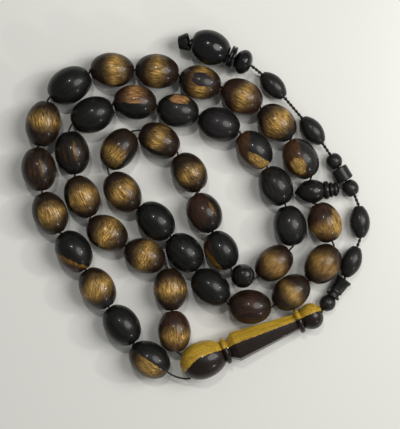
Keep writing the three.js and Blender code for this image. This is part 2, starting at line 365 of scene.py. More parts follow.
@dataclass(frozen=True)
class BeadWood:
    """Polished wood with fine fibres along the bore."""

    look: BeadLook
    turn: float
    seed: int
    radius: float

    def material(self, name: str) -> bpy.types.Material:
        """Build the material of one bead.

        Args:
            name: the material's name.

        Returns:
            The material.
        """
        graph = Graph(name)
        here = graph.place()
        turned = graph.node(
            "ShaderNodeVectorRotate", {"rotation_type": "Z_AXIS"},
            {"Vector": here, "Angle": -math.radians(self.look.grain_turn)},
        )
        at = turned + (self.seed * 7.31, self.seed * 3.17, self.seed * 5.71)
        cloud = graph.noise(at * (0.26, 0.36, 0.36), 2.0)
        streaks = graph.noise(at * (0.10, 1.3, 1.3), 4.0, 0.6)
        fibres = graph.noise(at * (0.36, 2.9, 2.9), 2.5, 0.55)
        pores = graph.noise(at * (0.8, 7.5, 7.5), 1.0, 0.5)
        grain = Grain(streaks, fibres, pores, cloud)
        colour = self._ground(graph, here, grain)
        for patch in self.look.patches:
            colour = self._lay(graph, colour, here, patch, grain)
        for stripe in self.look.stripes:
            colour = self._stripe(graph, colour, here, stripe, grain)
        rough = 0.27 + 0.16 * fibres + 0.05 * cloud
        relief = graph.bump(fibres * 0.6 + pores * 0.4, 0.00005, 0.5)
        return graph.surface(
            Base_Color=colour, Roughness=rough, Normal=relief,
            Coat_Weight=0.22, Coat_Roughness=0.10, Specular_IOR_Level=0.20,
        )

    def _ground(self, graph: Graph, here: Signal, grain: "Grain") -> Signal:
        """Colour the band, the shoulders on both sides of it and the ends, and darken the flanks seen from
        above as painted shade.

        Args:
            graph: the material's graph.
            here: the point in the bead's own frame.
            grain: the wood's grain.

        Returns:
            The colour before any patch.
        """
        look = self.look
        off_band = abs(here.dot((1.0, 0.0, 0.0)) - look.band_at) + (grain.cloud - 0.5) * 2.0
        # painted shade: the colour darkens towards the bead's flanks seen from above, standing in for the
        # light falling off at its sides
        painted_shade_flank = abs(here.dot((0.0, 1.0, 0.0))) * (1.0 / self.radius)
        # reach: the distance from the band plus the painted flank shade, frayed by the streaks
        reach = off_band + painted_shade_flank * painted_shade_flank * look.side + (grain.streaks - 0.5) * 1.2
        middle = grain.coloured(graph, look.middle.value, look.streaks, look.fibres)
        shoulder = tuple(m * 0.27 + e * 0.73 for m, e in zip(look.middle.value, look.ends.value))
        between = grain.coloured(graph, shoulder, look.streaks, 0.7 * look.fibres)
        ends = grain.coloured(graph, look.ends.value, look.streaks, 0.3)
        outer = graph.mix(between, ends, reach.step(look.band + 0.3, look.band + 2.2))
        return graph.mix(middle, outer, reach.step(look.band - 2.0, look.band + 0.6))

    def _lay(self, graph: Graph, under: Signal, here: Signal, patch: Patch, grain: "Grain") -> Signal:
        """Lay a patch over the colour so far.

        Args:
            graph: the material's graph.
            under: the colour so far.
            here: the point in the bead's own frame.
            patch: the patch to lay.
            grain: the wood's grain, which frays and bends the patch's edge.

        Returns:
            The colour with the patch on it.
        """
        depth = here.dot(patch.direction(self.turn)) * (1.0 / self.radius)
        frayed = depth + (grain.streaks - 0.5) * 0.10 + (grain.cloud - 0.5) * 0.22
        inside = frayed.step(patch.reach - patch.edge, patch.reach + patch.edge)
        pale = patch.tone in (Tone.GOLD, Tone.OCHRE, Tone.TAN, Tone.COPPER)
        laid = grain.coloured(graph, patch.tone.value, 0.35, 0.7 if pale else 0.15)
        return graph.mix(under, laid, inside)

    def _stripe(self, graph: Graph, under: Signal, here: Signal, stripe: Stripe, grain: "Grain") -> Signal:
        """Lay a stripe over the colour so far.

        Args:
            graph: the material's graph.
            under: the colour so far.
            here: the point in the bead's own frame.
            stripe: the stripe to lay.
            grain: the wood's grain, which frays the stripe.

        Returns:
            The colour with the stripe on it.
        """
        across = abs(here.dot((0.0, 1.0, 0.0)) * (1.0 / self.radius) - stripe.side)
        along = abs(here.dot((1.0, 0.0, 0.0))) * (1.0 / self.radius)
        away = across + (grain.streaks - 0.5) * 0.45 + along * along * 0.30
        inside = 1.0 - away.step(stripe.width * 0.2, stripe.width * 1.9)
        above = here.dot((0.0, 0.0, 1.0)).step(0.0, 1.0)
        laid = grain.coloured(graph, stripe.tone.value, 0.4, 0.8)
        return graph.mix(under, laid, inside * above * stripe.strength)


@dataclass(frozen=True)
class Grain:
    """The noises that make one bead's grain, all stretched along the bore."""

    streaks: Signal
    fibres: Signal
    pores: Signal
    cloud: Signal

    def coloured(self, graph: Graph, tone: Colour, streak: float, fibre: float) -> Signal:
        """Streak a tone, score it with dark dashes and fleck it with pale ones.

        Args:
            graph: the material's graph.
            tone: the wood's colour.
            streak: how strong the streaks are.
            fibre: how strong the dashes are.

        Returns:
            The grained colour.
        """
        pale = tuple(min(1.0, c * (1.0 + 0.75 * streak)) for c in tone)
        deep = tuple(c * (1.0 - 1.05 * streak) for c in tone)
        scored = tuple(c * f for c, f in zip(tone, (0.20, 0.14, 0.12)))
        glint = tuple(min(1.0, c * (1.0 + 1.25 * fibre)) for c in tone)
        base = graph.mix(deep, pale, self.streaks.step(0.36, 0.64))
        lit = graph.mix(glint, base, self.fibres.step(0.33, 0.42))
        fine = graph.mix(lit, scored, self.pores.step(0.55, 0.68) * (0.45 * fibre))
        return graph.mix(fine, scored, self.fibres.step(0.53, 0.62) * fibre)


@dataclass(frozen=True)
class BlackWood:
    """Near-black polished wood with a faint grey grain."""

    tint: Colour = (0.0075, 0.0075, 0.0075)
    roughness: float = 0.34
    gloss: float = 0.16

    def material(self, name: str) -> bpy.types.Material:
        """Build the material.

        Args:
            name: the material's name.

        Returns:
            The material.
        """
        graph = Graph(name)
        at = graph.place()
        grain = graph.noise(at * (0.18, 2.2, 2.2), 4.0, 0.6)
        wear = graph.noise(at * (0.5, 0.5, 0.5), 3.0)
        paler = tuple(c * 2.4 + 0.003 for c in self.tint)
        colour = graph.mix(self.tint, paler, grain.step(0.45, 0.75) * 0.8)
        rough = self.roughness + 0.14 * wear
        relief = graph.bump(grain, 0.00004, 0.4)
        return graph.surface(
            Base_Color=colour, Roughness=rough, Normal=relief,
            Coat_Weight=0.30, Coat_Roughness=self.gloss, Specular_IOR_Level=0.20,
        )


@dataclass(frozen=True)
class LeaderWood:
    """One piece of wood, golden sapwood on one side and dark heartwood on the other."""

    edge_turn: float = 74.0
    sapwood: Tone = Tone.MUSTARD
    heartwood: Colour = (0.011, 0.0058, 0.0042)

    def material(self, name: str) -> bpy.types.Material:
        """Build the material.

        Args:
            name: the material's name.

        Returns:
            The material.
        """
        graph = Graph(name)
        at = graph.place()
        streaks = graph.noise(at * (0.12, 1.9, 1.9), 4.0, 0.6)
        fibres = graph.noise(at * (0.55, 4.2, 4.2), 2.0, 0.55)
        fray = graph.noise(at * (0.9, 2.0, 2.0), 4.0, 0.65)
        turn = math.radians(self.edge_turn)
        across = at.dot((0.0, math.sin(turn), -math.cos(turn)))
        toe = 1.0 - at.dot((1.0, 0.0, 0.0)).step(0.0, 7.0)
        split = (across + toe * 1.9 + (fray - 0.5) * 0.9).step(-0.10, 0.10)
        gold = self.sapwood.value
        pale = tuple(min(1.0, c * 1.18) for c in gold)
        deep = tuple(c * 0.72 for c in gold)
        sap = graph.mix(deep, pale, streaks.step(0.36, 0.64))
        sap = graph.mix(sap, (0.12, 0.055, 0.010), fibres.step(0.60, 0.70) * 0.65)
        lighter = tuple(c * 2.6 for c in self.heartwood)
        heart = graph.mix(self.heartwood, lighter, streaks.step(0.5, 0.8) * 0.7)
        colour = graph.mix(heart, sap, split)
        rough = 0.34 + 0.12 * fibres
        relief = graph.bump(fibres * 0.7 + streaks * 0.3, 0.00005, 0.5)
        return graph.surface(
            Base_Color=colour, Roughness=rough, Normal=relief,
            Coat_Weight=0.30, Coat_Roughness=0.10, Specular_IOR_Level=0.22,
        )


@dataclass(frozen=True)
class CordFinish:
    """Waxed black cord with fine twisted filaments."""

    colour: Colour = (0.010, 0.009, 0.009)

    def material(self, name: str) -> bpy.types.Material:
        """Build the material.

        Args:
            name: the material's name.

        Returns:
            The material.
        """
        graph = Graph(name)
        at = graph.place()
        lint = graph.noise(at * (6.0, 6.0, 6.0), 3.0, 0.6)
        colour = graph.mix(self.colour, tuple(c * 3.0 for c in self.colour), lint.step(0.45, 0.75))
        relief = graph.bump(lint, 0.00006, 0.6)
        return graph.surface(Base_Color=colour, Roughness=0.62 + 0.2 * lint, Normal=relief)


@dataclass(frozen=True)
class TableFinish:
    """Pale glazed table top."""

    colour: Colour = (0.80, 0.80, 0.77)

    def material(self, name: str) -> bpy.types.Material:
        """Build the material.

        Args:
            name: the material's name.

        Returns:
            The material.
        """
        graph = Graph(name)
        at = graph.place()
        haze = graph.noise(at * (0.02, 0.02, 0.02), 2.0)
        colour = graph.mix(self.colour, tuple(c * 0.97 for c in self.colour), haze)
        return graph.surface(Base_Color=colour, Roughness=0.22 + 0.08 * haze, Specular_IOR_Level=0.5)


# ---------------------------------------------------------------- turned shapes


@dataclass(frozen=True)
class Place:
    """Where a turned piece lies: a point in millimetres, and its turn and rise in degrees."""

    at: tuple[float, float, float]
    turn: float
    rise: float = 0.0

    @property
    def matrix(self) -> Matrix:
        """Give the placement in metres."""
        turned = Euler((0.0, -math.radians(self.rise), math.radians(self.turn)), "XYZ").to_matrix()
        return Matrix.Translation(Vector(self.at) * MM) @ turned.to_4x4()

    def along(self, distance: float) -> Vector:
        """Give the point that far along the piece's own axis, in millimetres."""
        turn = math.radians(self.turn)
        rise = math.radians(self.rise)
        axis = Vector((math.cos(rise) * math.cos(turn), math.cos(rise) * math.sin(turn), math.sin(rise)))
        return Vector(self.at) + axis * distance

    def moved(self, distance: float) -> "Place":
        """Give the same placement, moved along its own axis."""
        return Place(tuple(self.along(distance)), self.turn, self.rise)


def swell(
    centre: float, radius: float, half_length: float, start: float, end: float,
    steps: int, fullness: float = 0.5,
) -> Outline:
    """Give the points of a rounded outline.

    Args:
        centre: where it is widest.
        radius: how wide it is there.
        half_length: how far from the centre it would close.
        start: where the points begin.
        end: where the points end.
        steps: how many steps between them.
        fullness: 0.5 for an ellipse, more for pointed ends.

    Returns:
        The points, each a distance along the axis and a radius.
    """
    first = math.asin(max(-1.0, min(1.0, (start - centre) / half_length)))
    last = math.asin(max(-1.0, min(1.0, (end - centre) / half_length)))
    angles = [first + (last - first) * step / steps for step in range(steps + 1)]
    return [
        (centre + half_length * math.sin(a), radius * max(0.0, math.cos(a)) ** (2 * fullness))
        for a in angles
    ]


def full_half_length(length: float, diameter: float, face: float, fullness: float = 0.5) -> float:
    """Give the half length of the outline whose ends are cut off at a face of that diameter."""
    return length / 2 / math.sqrt(1 - (face / diameter) ** (1 / fullness))


def ring_outline(start: float, end: float, diameter: float, root: float, steps: int = 10) -> Outline:
    """Give the outline of a turned ring with a round crown.

    Args:
        start: where the ring begins.
        end: where the ring ends.
        diameter: its crown.
        root: the diameter that it stands on.
        steps: how many steps across it.

    Returns:
        The points, each a distance along the axis and a radius.
    """
    points = []
    for step in range(steps + 1):
        angle = math.pi * step / steps
        height = max(0.0, math.sin(angle)) ** 0.55
        along = start + (end - start) * (1 - math.cos(angle)) / 2
        points.append((along, (root + (diameter - root) * height) / 2))
    return points


def bored(outline: Outline, bore: float) -> Outline:
    """Close an outline round a bore whose mouths are slightly eased."""
    first = outline[0][0]
    last = outline[-1][0]
    ease = 0.12
    radius = bore / 2
    mouth = [(last, radius + ease), (last - ease, radius), (first + ease, radius), (first, radius + ease)]
    return [*outline, *mouth, outline[0]]


def oval_outline(
    length: float, diameter: float, face: float, bore: float, fullness: float = 0.5, steps: int = 26,
) -> Outline:
    """Give the outline of an oval bead with a bore.

    Args:
        length: the bead's length.
        diameter: its greatest diameter.
        face: the diameter of its flat ends.
        bore: the diameter of its bore.
        fullness: 0.5 for an ellipse, more for pointed ends.
        steps: how many steps from end to end.

    Returns:
        The closed outline.
    """
    half = full_half_length(length, diameter, face, fullness)
    outline = swell(0.0, diameter / 2, half, -length / 2, length / 2, steps, fullness)
    eased = [(outline[0][0], face / 2 - 0.15), *outline[1:-1], (outline[-1][0], face / 2 - 0.15)]
    return bored(eased, bore)


class Lathe:
    """Turns outlines into meshes about the X axis."""

    def __init__(self, sides: int = 48, phase: float = 0.0) -> None:
        """Set how many sides a turned mesh has, and where its first side starts, in degrees."""
        self.sides = sides
        self.phase = math.radians(phase)

    def fill(self, mesh: bmesh.types.BMesh, outline: Outline) -> None:
        """Turn one outline and add it to a mesh.

        Args:
            mesh: the mesh to add to.
            outline: its points in millimetres; it closes on itself, or starts and ends on the axis.
        """
        closed = outline[0] == outline[-1]
        points = outline[:-1] if closed else outline
        rings = [self._ring(mesh, along, radius) for along, radius in points]
        pairs = list(zip(rings, rings[1:]))
        if closed:
            pairs.append((rings[-1], rings[0]))
        for low, high in pairs:
            self._band(mesh, low, high)

    def _ring(self, mesh: bmesh.types.BMesh, along: float, radius: float) -> list[bmesh.types.BMVert]:
        """Add one ring of points, or one point where the radius is nothing."""
        if radius < 1e-6:
            return [mesh.verts.new((along * MM, 0.0, 0.0))]
        angles = [self.phase + 2 * math.pi * side / self.sides for side in range(self.sides)]
        return [
            mesh.verts.new((along * MM, radius * math.cos(a) * MM, radius * math.sin(a) * MM))
            for a in angles
        ]

    @staticmethod
    def _band(
        mesh: bmesh.types.BMesh, low: list[bmesh.types.BMVert], high: list[bmesh.types.BMVert],
    ) -> None:
        """Close the band of faces between two rings."""
        if len(low) == 1 and len(high) == 1:
            return
        count = max(len(low), len(high))
        for i in range(count):
            j = (i + 1) % count
            corners = []
            for ring, order in ((low, (i, j)), (high, (j, i))):
                corners.extend([ring[0]] if len(ring) == 1 else [ring[k] for k in order])
            mesh.faces.new(corners)

    def piece(self, name: str, outline: Outline, place: Place) -> bpy.types.Object:
        """Turn one outline into a piece and lay it in its place.

        Args:
            name: the piece's name.
            outline: the outline, in millimetres.
            place: where it lies.

        Returns:
            The new piece.
        """
        mesh = bmesh.new()
        self.fill(mesh, outline)
        return finished(mesh, name, place)


def finished(mesh: bmesh.types.BMesh, name: str, place: Place | None = None) -> bpy.types.Object:
    """Make an object of a mesh, with its faces outward and its real edges sharp.

    Args:
        mesh: the mesh, which is freed.
        name: the object's name.
        place: where it lies; None leaves it at the origin.

    Returns:
        The new object.
    """
    bmesh.ops.recalc_face_normals(mesh, faces=mesh.faces[:])
    data = bpy.data.meshes.new(name)
    mesh.to_mesh(data)
    mesh.free()
    data.shade_smooth()
    data.set_sharp_from_angle(angle=math.radians(38))
    piece = bpy.data.objects.new(name, data)
    bpy.context.scene.collection.objects.link(piece)
    if place is not None:
        piece.matrix_world = place.matrix
    return piece


def drilled(piece: bpy.types.Object, at: float, diameter: float, reach: float) -> None:
    """Drill a hole across a piece, along its own Y axis.

    Args:
        piece: the piece to drill.
        at: where along its own axis, in millimetres.
        diameter: the hole's diameter, in millimetres.
        reach: how far the drill goes each way, in millimetres.
    """
    mesh = bmesh.new()
    Lathe(24).fill(mesh, [(-reach, 0.0), (-reach, diameter / 2), (reach, diameter / 2), (reach, 0.0)])
    bmesh.ops.recalc_face_normals(mesh, faces=mesh.faces[:])
    data = bpy.data.meshes.new("drill")
    mesh.to_mesh(data)
    mesh.free()
    drill = bpy.data.objects.new("drill", data)
    bpy.context.scene.collection.objects.link(drill)
    aim = Matrix.Translation((at * MM, 0.0, 0.0)) @ Matrix.Rotation(math.pi / 2, 4, "Z")
    drill.matrix_world = piece.matrix_world @ aim
    cut = piece.modifiers.new("cross_bore", "BOOLEAN")
    cut.operation = "DIFFERENCE"
    cut.solver = "EXACT"
    cut.object = drill
    bpy.context.view_layer.update()
    shaped = bpy.data.meshes.new_from_object(piece.evaluated_get(bpy.context.evaluated_depsgraph_get()))
    piece.modifiers.clear()
    shaped.name = piece.data.name + "_drilled"
    piece.data = shaped
    bpy.data.objects.remove(drill)
    piece.data.shade_smooth()
    piece.data.set_sharp_from_angle(angle=math.radians(38))


def dress(piece: bpy.types.Object, material: bpy.types.Material, body: str, node: str) -> None:
    """Give a piece its material, its body and the node that it stands for.

    Args:
        piece: the piece.
        material: its material.
        body: the body that it moves with.
        node: the CAD node that it replaces.
    """
    piece.data.materials.clear()
    piece.data.materials.append(material)
    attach(piece, body)
    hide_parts(node)


# ---------------------------------------------------------------- loop beads


FIRST_RUN = 14
SECOND_RUN = 13

DARK = BeadLook(Tone.BLACK, Tone.BLACK, streaks=0.45, fibres=0.1)

# side= in a look sets how strongly painted shade darkens that bead's flanks
BEAD_LOOKS: dict[int, BeadLook] = {
    1: BeadLook(Tone.GOLD, Tone.UMBER, band_at=-0.9, band=3.6, side=1.0, patches=(
        Patch(54, 0.02, Tone.BLACK), Patch(-126, 0.78, Tone.UMBER, edge=0.14))),
    2: DARK,
    3: BeadLook(Tone.GOLD, Tone.UMBER, band_at=0.2, band=3.1, grain_turn=-40, patches=(
        Patch(-57, 0.96, Tone.CHARCOAL, 12, 0.06), Patch(147, 0.80, Tone.UMBER, edge=0.2))),
    4: BeadLook(Tone.BLACK, Tone.BLACK, streaks=0.4, fibres=0.1, patches=(
        Patch(-114, 0.47, Tone.OCHRE), Patch(-110, 0.66, Tone.RUSSET, edge=0.12))),
    5: BeadLook(Tone.GOLD, Tone.UMBER, band_at=-0.4, band=2.9, side=3.4, patches=(
        Patch(200, 0.62, Tone.BLACK, edge=0.06),)),
    6: BeadLook(Tone.UMBER, Tone.UMBER, band=4.0, streaks=0.6, fibres=0.5, stripes=(
        Stripe(-0.25, 0.10, Tone.TAN, 0.55), Stripe(0.12, 0.07, Tone.BROWN, 0.9),
        Stripe(0.42, 0.10, Tone.BROWN, 0.8))),
    7: BeadLook(Tone.GOLD, Tone.UMBER, band_at=0.8, band=2.2, fibres=1.0, side=2.2, grain_turn=18, patches=(
        Patch(187, 0.80, Tone.UMBER, edge=0.15),)),
    8: DARK,
    9: BeadLook(Tone.GOLD, Tone.UMBER, band_at=1.0, band=2.6, patches=(
        Patch(-84, 0.93, Tone.BLACK, edge=0.02), Patch(175, 0.60, Tone.UMBER, edge=0.3))),
    10: BeadLook(Tone.GOLD, Tone.UMBER, band_at=0.1, band=2.0, fibres=0.9, side=2.0),
    11: BeadLook(Tone.GOLD, Tone.UMBER, band_at=0.2, band=2.3, side=1.0, patches=(
        Patch(40, 0.885, Tone.PLUM, 80, 0.02),)),
    12: BeadLook(Tone.GOLD, Tone.RUSSET, band_at=0.6, band=2.3, patches=(
        Patch(125, 0.55, Tone.RUSSET, edge=0.25),)),
    13: BeadLook(Tone.GOLD, Tone.UMBER, band_at=0.2, band=2.9, fibres=1.0, side=2.0, patches=(
        Patch(-60, 0.95, Tone.CHARCOAL, edge=0.1),)),
    14: BeadLook(Tone.UMBER, Tone.UMBER, fibres=0.4, patches=(
        Patch(175, 0.05, Tone.BROWN, 20, 0.35), Patch(20, 0.35, Tone.CHARCOAL, 15, 0.1),
        Patch(-123, 0.925, Tone.GOLD, 62, 0.04))),
    15: BeadLook(Tone.TAN, Tone.UMBER, band_at=0.4, band=3.6, fibres=0.6, side=2.0, patches=(
        Patch(115, 0.22, Tone.RUSSET, 10, 0.3), Patch(5, 0.80, Tone.GOLD, 28, 0.15))),
    16: BeadLook(Tone.TAN, Tone.UMBER, band=3.4, fibres=0.6, side=3.2),
    17: BeadLook(Tone.GOLD, Tone.UMBER, band_at=0.1, band=1.8, fibres=0.5, patches=(
        Patch(60, 0.62, Tone.UMBER, edge=0.2),)),
    18: BeadLook(Tone.RUSSET, Tone.UMBER, streaks=0.5, fibres=0.4),
    19: DARK,
    20: BeadLook(Tone.BLACK, Tone.BLACK, streaks=0.8, fibres=0.1, stripes=(
        Stripe(0.25, 0.08, Tone.CHARCOAL, 0.7), Stripe(-0.2, 0.08, Tone.CHARCOAL, 0.7))),
    21: DARK,
    22: BeadLook(Tone.GOLD, Tone.UMBER, band=2.5, fibres=1.0, side=2.6, patches=(
        Patch(35, 0.85, Tone.UMBER, edge=0.2),)),
    23: BeadLook(Tone.GOLD, Tone.UMBER, band_at=-1.9, band=2.2, fibres=1.0, patches=(
        Patch(-40, 0.66, Tone.BLACK, edge=0.08), Patch(60, 0.42, Tone.UMBER, 15, 0.3))),
    24: BeadLook(Tone.GOLD, Tone.UMBER, band_at=-0.5, band=2.0, fibres=1.0, side=2.2, grain_turn=15, patches=(
        Patch(-115, 0.66, Tone.BLACK),)),
    25: BeadLook(Tone.GOLD, Tone.UMBER, band_at=0.7, band=2.0, fibres=1.0, side=3.0),
    26: BeadLook(Tone.UMBER, Tone.BLACK, fibres=0.4, streaks=0.6, patches=(
        Patch(170, 0.30, Tone.RUSSET, 30, 0.3),), stripes=(Stripe(0.52, 0.06, Tone.OCHRE, 0.9),)),
    27: BeadLook(Tone.BLACK, Tone.BLACK, streaks=0.4, fibres=0.1, patches=(
        Patch(-162, 0.52, Tone.RUSSET), Patch(-140, 0.66, Tone.OCHRE, 0, 0.05))),
    28: BeadLook(Tone.TAN, Tone.UMBER, band_at=-0.3, band=3.1, fibres=0.5, side=3.0),
    29: BeadLook(Tone.CHARCOAL, Tone.BLACK, streaks=0.4, fibres=0.1),
    30: BeadLook(Tone.CHARCOAL, Tone.BLACK, streaks=0.6, fibres=0.1),
    31: BeadLook(Tone.CHARCOAL, Tone.BLACK, fibres=0.1, patches=(
        Patch(-118, 0.26, Tone.GOLD, edge=0.04), Patch(-128, 0.68, Tone.BROWN, edge=0.12),
        Patch(176, 0.34, Tone.BROWN, edge=0.12))),
    32: BeadLook(Tone.PLUM, Tone.BLACK, fibres=0.2),
    33: BeadLook(Tone.CHARCOAL, Tone.BLACK, fibres=0.1, patches=(
        Patch(80, 0.90, Tone.COPPER, 46, 0.03),)),
    34: BeadLook(Tone.COPPER, Tone.RUSSET, band_at=0.2, band=2.4, fibres=1.0, side=0.8, patches=(
        Patch(-92, 0.14, Tone.BLACK), Patch(0, 0.80, Tone.UMBER, edge=0.15))),
    35: DARK,
    36: BeadLook(Tone.UMBER, Tone.BLACK, streaks=0.6, fibres=0.4, stripes=(
        Stripe(0.26, 0.10, Tone.TAN, 0.6), Stripe(-0.35, 0.08, Tone.BROWN, 0.5))),
    37: BeadLook(Tone.GOLD, Tone.UMBER, band_at=0.2, band=2.9, patches=(Patch(195, 0.66, Tone.BLACK),)),
    38: BeadLook(Tone.GOLD, Tone.UMBER, band_at=0.1, band=2.6, fibres=1.0, side=1.8, grain_turn=88, patches=(
        Patch(-125, 0.80, Tone.BLACK, edge=0.05),)),
    39: BeadLook(Tone.GOLD, Tone.UMBER, band_at=0.2, band=2.3, fibres=1.0, side=1.6, grain_turn=90, patches=(
        Patch(-115, 0.86, Tone.BLACK, edge=0.05),)),
    40: BeadLook(Tone.GOLD, Tone.UMBER, band_at=-0.2, band=2.7, fibres=1.0),
    41: BeadLook(Tone.GOLD, Tone.RUSSET, band_at=1.4, band=2.4, fibres=0.9),
}


@dataclass(frozen=True)
class FrameBead:
    """One bead of the frame, with its name, its place and its sizes in millimetres."""

    name: str
    place: Place
    length: float
    diameter: float


def frame_bead(node: bpy.types.Object, centre: Vector, onward: Vector) -> FrameBead:
    """Measure a bead of the frame, which lies flat on the table.

    Args:
        node: the frame's bead.
        centre: its centre in millimetres, half its diameter above the table.
        onward: the way that the string runs on from it.

    Returns:
        The bead, its axis pointing along the string.
    """
    corners = [Vector(corner) / MM - centre for corner in {tuple(v.co) for v in node.data.vertices}]
    across = sum(corner.x * corner.y for corner in corners)
    longer = sum(corner.x ** 2 - corner.y ** 2 for corner in corners)
    turn = math.atan2(2 * across, longer) / 2
    axis = Vector((math.cos(turn), math.sin(turn), 0.0))
    if axis.dot(onward) < 0:
        axis.negate()
    length = 2 * max(corner.dot(axis) for corner in corners)
    place = Place(tuple(round(c, 3) for c in centre), round(math.degrees(math.atan2(axis.y, axis.x)), 2))
    return FrameBead(node.name, place, round(length, 3), round(2 * centre.z, 3))


def frame_beads(nodes: dict[str, bpy.types.Object]) -> tuple[FrameBead, ...]:
    """Measure every loop bead of the frame.

    Args:
        nodes: the frame's nodes by name.

    Returns:
        The beads, in the order of the string.
    """
    names = sorted(name for name in nodes if name.startswith("bead_"))
    centres = [sum(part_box(name), Vector()) / 2 / MM for name in names]
    ways = [after - before for before, after in zip(centres, centres[1:])]
    ways.append(ways[-1])
    return tuple(frame_bead(nodes[name], c, way) for name, c, way in zip(names, centres, ways))


@dataclass
class LoopBeads:
    """The oval beads of the loop, in the order of the string."""

    beads: tuple[FrameBead, ...]
    face: float = 3.2
    bore: float = 1.8

    def build(self) -> None:
        """Turn and dress every bead."""
        lathe = Lathe(48)
        for number, bead in enumerate(self.beads, 1):
            outline = oval_outline(bead.length, bead.diameter, self.face, self.bore)
            piece = lathe.piece(f"{bead.name}_turned", outline, bead.place)
            wood = BeadWood(BEAD_LOOKS[number], bead.place.turn, number, bead.diameter / 2)
            finish = wood.material(f"{bead.name}_wood")
            dress(piece, finish, body_of(bead.name), bead.name)
            LOG.info("%s: %s", bead.name, BEAD_LOOKS[number].middle.name.lower())


# ---------------------------------------------------------------- separators


@dataclass
class Separators:
    """The two cross-drilled pieces that part the runs."""

    places: tuple[Place, ...] = (
        Place((35.65, 4.2, 3.8), 5.0),
        Place((14.2, -22.2, 5.4), 72.0, 84.0),
    )
    bore_at: float = 5.2
    bore: float = 1.8
    width: float = 7.5

    def outline(self) -> Outline:
        """Give the outline of egg, two rings and knob, measured from the bore."""
        reach = 1.2 / math.sqrt(1 - (1.6 / 4.6) ** 2)
        points = [
            (0.0, 0.0),
            *swell(5.5, self.width / 2, 5.5, 0.01, 9.0, 26, 0.8),
            *ring_outline(9.2, 10.7, 5.8, 4.5),
            *ring_outline(11.0, 11.9, 4.9, 3.9),
            *swell(12.8, 2.3, reach, 12.1, 14.0, 10),
            (14.0, 0.0),
        ]
        return [(along - self.bore_at, radius) for along, radius in points]

    def build(self) -> None:
        """Turn, drill and dress both."""
        wood = BlackWood((0.0075, 0.0068, 0.0065), 0.26, 0.10).material("separator_wood")
        for number, place in enumerate(self.places, 1):
            name = f"separator_{number}"
            piece = Lathe(48).piece(f"{name}_turned", self.outline(), place)
            drilled(piece, 0.0, self.bore, self.width)
            dress(piece, wood, body_of(name), name)
            LOG.info("%s turned and drilled", name)


# ---------------------------------------------------------------- leader bead


@dataclass
class Leader:
    """The long two-tone piece that gathers the loop's two ends."""

    place: Place = Place((-4.98, -51.02, 6.24), 21.7, -2.7)
    length: float = 47.3
    bore: float = 2.0
    cross_at: float = 1.7
    cross_bore: float = 1.5
    edge_turn: float = 14.0

    def foot(self) -> Outline:
        """Give the outline of the foot, the first ring and the neck."""
        return [
            (0.0, 0.0),
            *swell(7.2, 5.9, 7.2, 0.02, 7.2, 18)[:-1],
            *swell(7.2, 5.9, 8.2, 7.2, 14.0, 12),
            *ring_outline(14.1, 15.7, 8.6, 6.0),
            (16.7, 3.0),
            (16.7, 0.0),
        ]

    def end(self) -> Outline:
        """Give the outline of the second ring and the end ball, with the mouth of the bore."""
        reach = 3.2 / math.sqrt(1 - (3.4 / 8.3) ** 2)
        mouth = self.bore / 2
        return [
            (38.3, 0.0),
            (38.3, 2.3),
            *ring_outline(38.9, 40.5, 7.9, 5.2),
            *swell(44.1, 4.15, 4.4, 40.9, 44.1, 10),
            *swell(44.1, 4.15, reach, 44.1, self.length, 10)[1:],
            (self.length, mouth + 0.1),
            (self.length - 0.1, mouth),
            (self.length - 3.0, mouth),
            (self.length - 3.0, 0.0),
        ]

    def shaft(self, mesh: bmesh.types.BMesh) -> None:
        """Add the six-sided shaft with its edges just broken."""
        plane = bmesh.new()
        outline = [(16.0, 0.0), (16.0, 3.3), (18.3, 5.05), (38.8, 2.8), (38.8, 0.0)]
        Lathe(6, self.edge_turn).fill(plane, outline)
        bmesh.ops.recalc_face_normals(plane, faces=plane.faces[:])
        edges = [edge for edge in plane.edges if edge.calc_face_angle(0.0) > math.radians(25)]
        bmesh.ops.bevel(
            plane, geom=edges, offset=0.16 * MM, segments=3, profile=0.5, affect="EDGES", clamp_overlap=True,
        )
        data = bpy.data.meshes.new("shaft")
        plane.to_mesh(data)
        plane.free()
        mesh.from_mesh(data)
        bpy.data.meshes.remove(data)

    def build(self) -> None:
        """Turn, drill and dress the leader."""
        foot = bmesh.new()
        Lathe(64).fill(foot, self.foot())
        piece = finished(foot, "leader_bead_turned", self.place)
        drilled(piece, self.cross_at, self.cross_bore, 6.0)
        rest = bmesh.new()
        self.shaft(rest)
        Lathe(64).fill(rest, self.end())
        bmesh.ops.recalc_face_normals(rest, faces=rest.faces[:])
        rest.from_mesh(piece.data)
        data = bpy.data.meshes.new("leader_bead_whole")
        rest.to_mesh(data)
        rest.free()
        data.shade_smooth()
        data.set_sharp_from_angle(angle=math.radians(30))
        piece.data = data
        wood = LeaderWood().material("leader_wood")
        dress(piece, wood, ROOT_BODY, "leader_bead")
        LOG.info("leader turned, %.1f mm long", self.length)


# ---------------------------------------------------------------- tail


